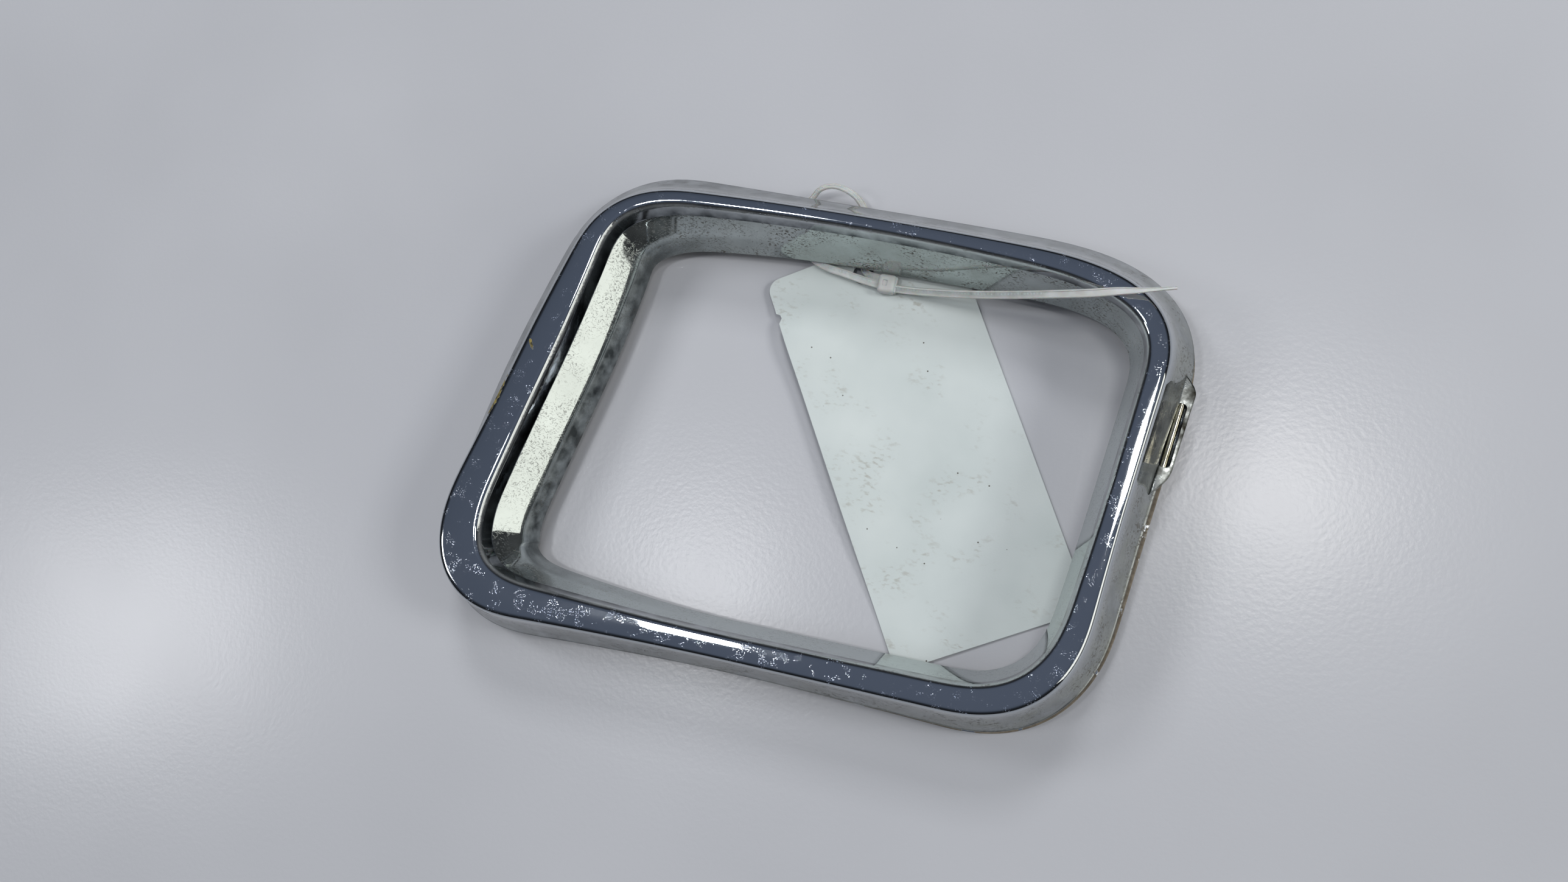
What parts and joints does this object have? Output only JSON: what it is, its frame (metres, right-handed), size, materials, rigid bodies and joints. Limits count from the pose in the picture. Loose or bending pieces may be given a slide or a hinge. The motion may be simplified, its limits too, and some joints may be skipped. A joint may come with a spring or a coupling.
{
  "type": "car side mirror surround",
  "caption": "Chromed ring surround of a car side mirror, with a flared skirt, a coved inner wall, rear posts, and a blank parts tag tied on.",
  "frame": {"origin": "middle of the box at its underside, where the rear pads rest", "axes": "+X along the long side towards the side with the catch, +Y towards the top bar, +Z out of the chromed front face"},
  "size_m": [0.229, 0.167, 0.0345],
  "materials": {
    "chrome": "bright chrome plate on moulded plastic, lightly scuffed and pitted",
    "carrier": "unplated moulded plastic, dusty",
    "seal": "dull black rubber strip",
    "catch": "worn plating on a moulded block",
    "pin": "plain steel, slightly yellowed",
    "zinc": "zinc plated",
    "clip": "spring steel strip",
    "pad": "soft black rubber",
    "nylon": "natural translucent nylon",
    "card": "off-white card, smudged"
  },
  "bodies": {
    "surround": {"front_bezel": "chrome", "inner_liner": "chrome", "rear_carrier": "carrier", "edge_seal": "seal", "side_catch": "catch", "catch_pin": "pin", "rear_screw_1": "zinc", "rear_screw_2": "zinc", "rear_screw_3": "zinc", "rear_screw_4": "zinc", "rear_screw_5": "zinc", "rear_screw_6": "zinc", "liner_clip_1": "clip", "liner_clip_2": "clip", "liner_clip_3": "clip", "liner_clip_4": "clip", "liner_clip_5": "clip", "liner_clip_6": "clip", "post_pad_1": "pad", "post_pad_2": "pad", "post_pad_3": "pad", "post_pad_4": "pad"},
    "tie": {"cable_tie": "nylon"},
    "tag": {"parts_tag": "card"}
  },
  "joints": [
    {"name": "tie_swing", "type": "hinge", "parent": "surround", "child": "tie", "pos_m": [-0.02196, 0.06868, 0.003], "axis": [-1, 0, 0], "range_deg": [0, 2]},
    {"name": "tag_swivel", "type": "hinge", "parent": "tie", "child": "tag", "pos_m": [0.00564, 0.05588, 0.002], "axis": [0, 0, 1], "range_deg": [-10, 10]}
  ]
}
